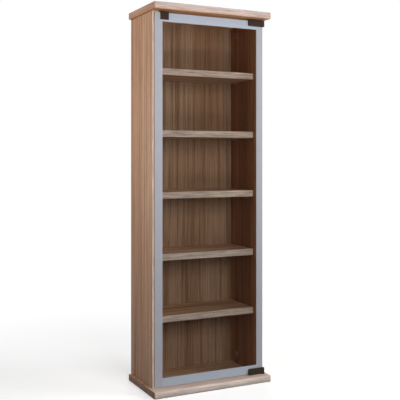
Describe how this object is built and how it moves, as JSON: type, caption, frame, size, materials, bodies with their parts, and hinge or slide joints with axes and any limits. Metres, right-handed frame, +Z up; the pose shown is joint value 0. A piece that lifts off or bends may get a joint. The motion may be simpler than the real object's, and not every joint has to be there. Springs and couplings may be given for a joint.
{
  "type": "disc storage tower",
  "caption": "Tall narrow chipboard tower for CD and DVD cases, with shelves on pins, overhanging plates and a frameless glass door on pivot hinges.",
  "frame": {"origin": "on the floor, under the middle of the tower", "axes": "+Z up, the tower's longest extent; -Y to the front, where the glass door is; +X to the right as seen from the front, the hinged side"},
  "size_m": [0.308, 0.178, 0.915],
  "materials": {
    "oak_board": "light sawn-oak melamine on chipboard, satin",
    "back_board": "thin fibreboard with printed oak decor",
    "glass": "clear toughened glass with a satin silver-grey band round the edge",
    "black_plastic": "black moulded, fine texture",
    "dark_plastic": "dark brown-black moulded",
    "bush_plastic": "black nylon",
    "black_steel": "black coated steel",
    "steel": "nickel-plated steel",
    "zinc": "bare zinc die-casting",
    "ferrite": "magnet with ground face",
    "beech": "fluted beech dowel"
  },
  "bodies": {
    "carcass": {"base_plate": "oak_board", "top_plate": "oak_board", "side_panel_left": "oak_board", "side_panel_right": "oak_board", "back_panel": "back_board", "shelf_1": "oak_board", "shelf_2": "oak_board", "shelf_3": "oak_board", "shelf_4": "oak_board", "shelf_5": "oak_board", "shelf_pin_1_left_front": "steel", "shelf_pin_1_left_rear": "steel", "shelf_pin_1_right_front": "steel", "shelf_pin_1_right_rear": "steel", "shelf_pin_2_left_front": "steel", "shelf_pin_2_left_rear": "steel", "shelf_pin_2_right_front": "steel", "shelf_pin_2_right_rear": "steel", "shelf_pin_3_left_front": "steel", "shelf_pin_3_left_rear": "steel", "shelf_pin_3_right_front": "steel", "shelf_pin_3_right_rear": "steel", "shelf_pin_4_left_front": "steel", "shelf_pin_4_left_rear": "steel", "shelf_pin_4_right_front": "steel", "shelf_pin_4_right_rear": "steel", "shelf_pin_5_left_front": "steel", "shelf_pin_5_left_rear": "steel", "shelf_pin_5_right_front": "steel", "shelf_pin_5_right_rear": "steel", "cam_bottom_left": "zinc", "cam_bottom_right": "zinc", "cam_top_left": "zinc", "cam_top_right": "zinc", "cam_bolt_bottom_left": "steel", "cam_bolt_bottom_right": "steel", "cam_bolt_top_left": "steel", "cam_bolt_top_right": "steel", "dowel_bottom_left": "beech", "dowel_bottom_right": "beech", "dowel_top_left": "beech", "dowel_top_right": "beech", "hinge_bush_bottom": "bush_plastic", "hinge_bush_top": "bush_plastic", "catch_housing": "dark_plastic"},
    "door": {"door_glass": "glass", "hinge_shoe_bottom": "black_plastic", "hinge_shoe_top": "black_plastic", "hinge_pressure_plate_bottom": "black_steel", "hinge_pressure_plate_top": "black_steel", "hinge_pin_bottom": "steel", "hinge_pin_top": "steel", "clamp_screw_bottom_outer": "black_steel", "clamp_screw_bottom_inner": "black_steel", "clamp_screw_top_outer": "black_steel", "clamp_screw_top_inner": "black_steel", "strike_clip": "black_steel"},
    "plunger": {"catch_plunger": "dark_plastic", "catch_magnet": "ferrite"}
  },
  "joints": [
    {"name": "door_hinge", "type": "hinge", "parent": "carcass", "child": "door", "pos_m": [0.143, -0.0655, 0], "axis": [0, 0, 1], "range_deg": [0, 180]},
    {"name": "plunger_slide", "type": "slide", "parent": "carcass", "child": "plunger", "axis": [0, 1, 0], "range_m": [0, 0.0015], "stiffness_N_per_m": 300}
  ]
}
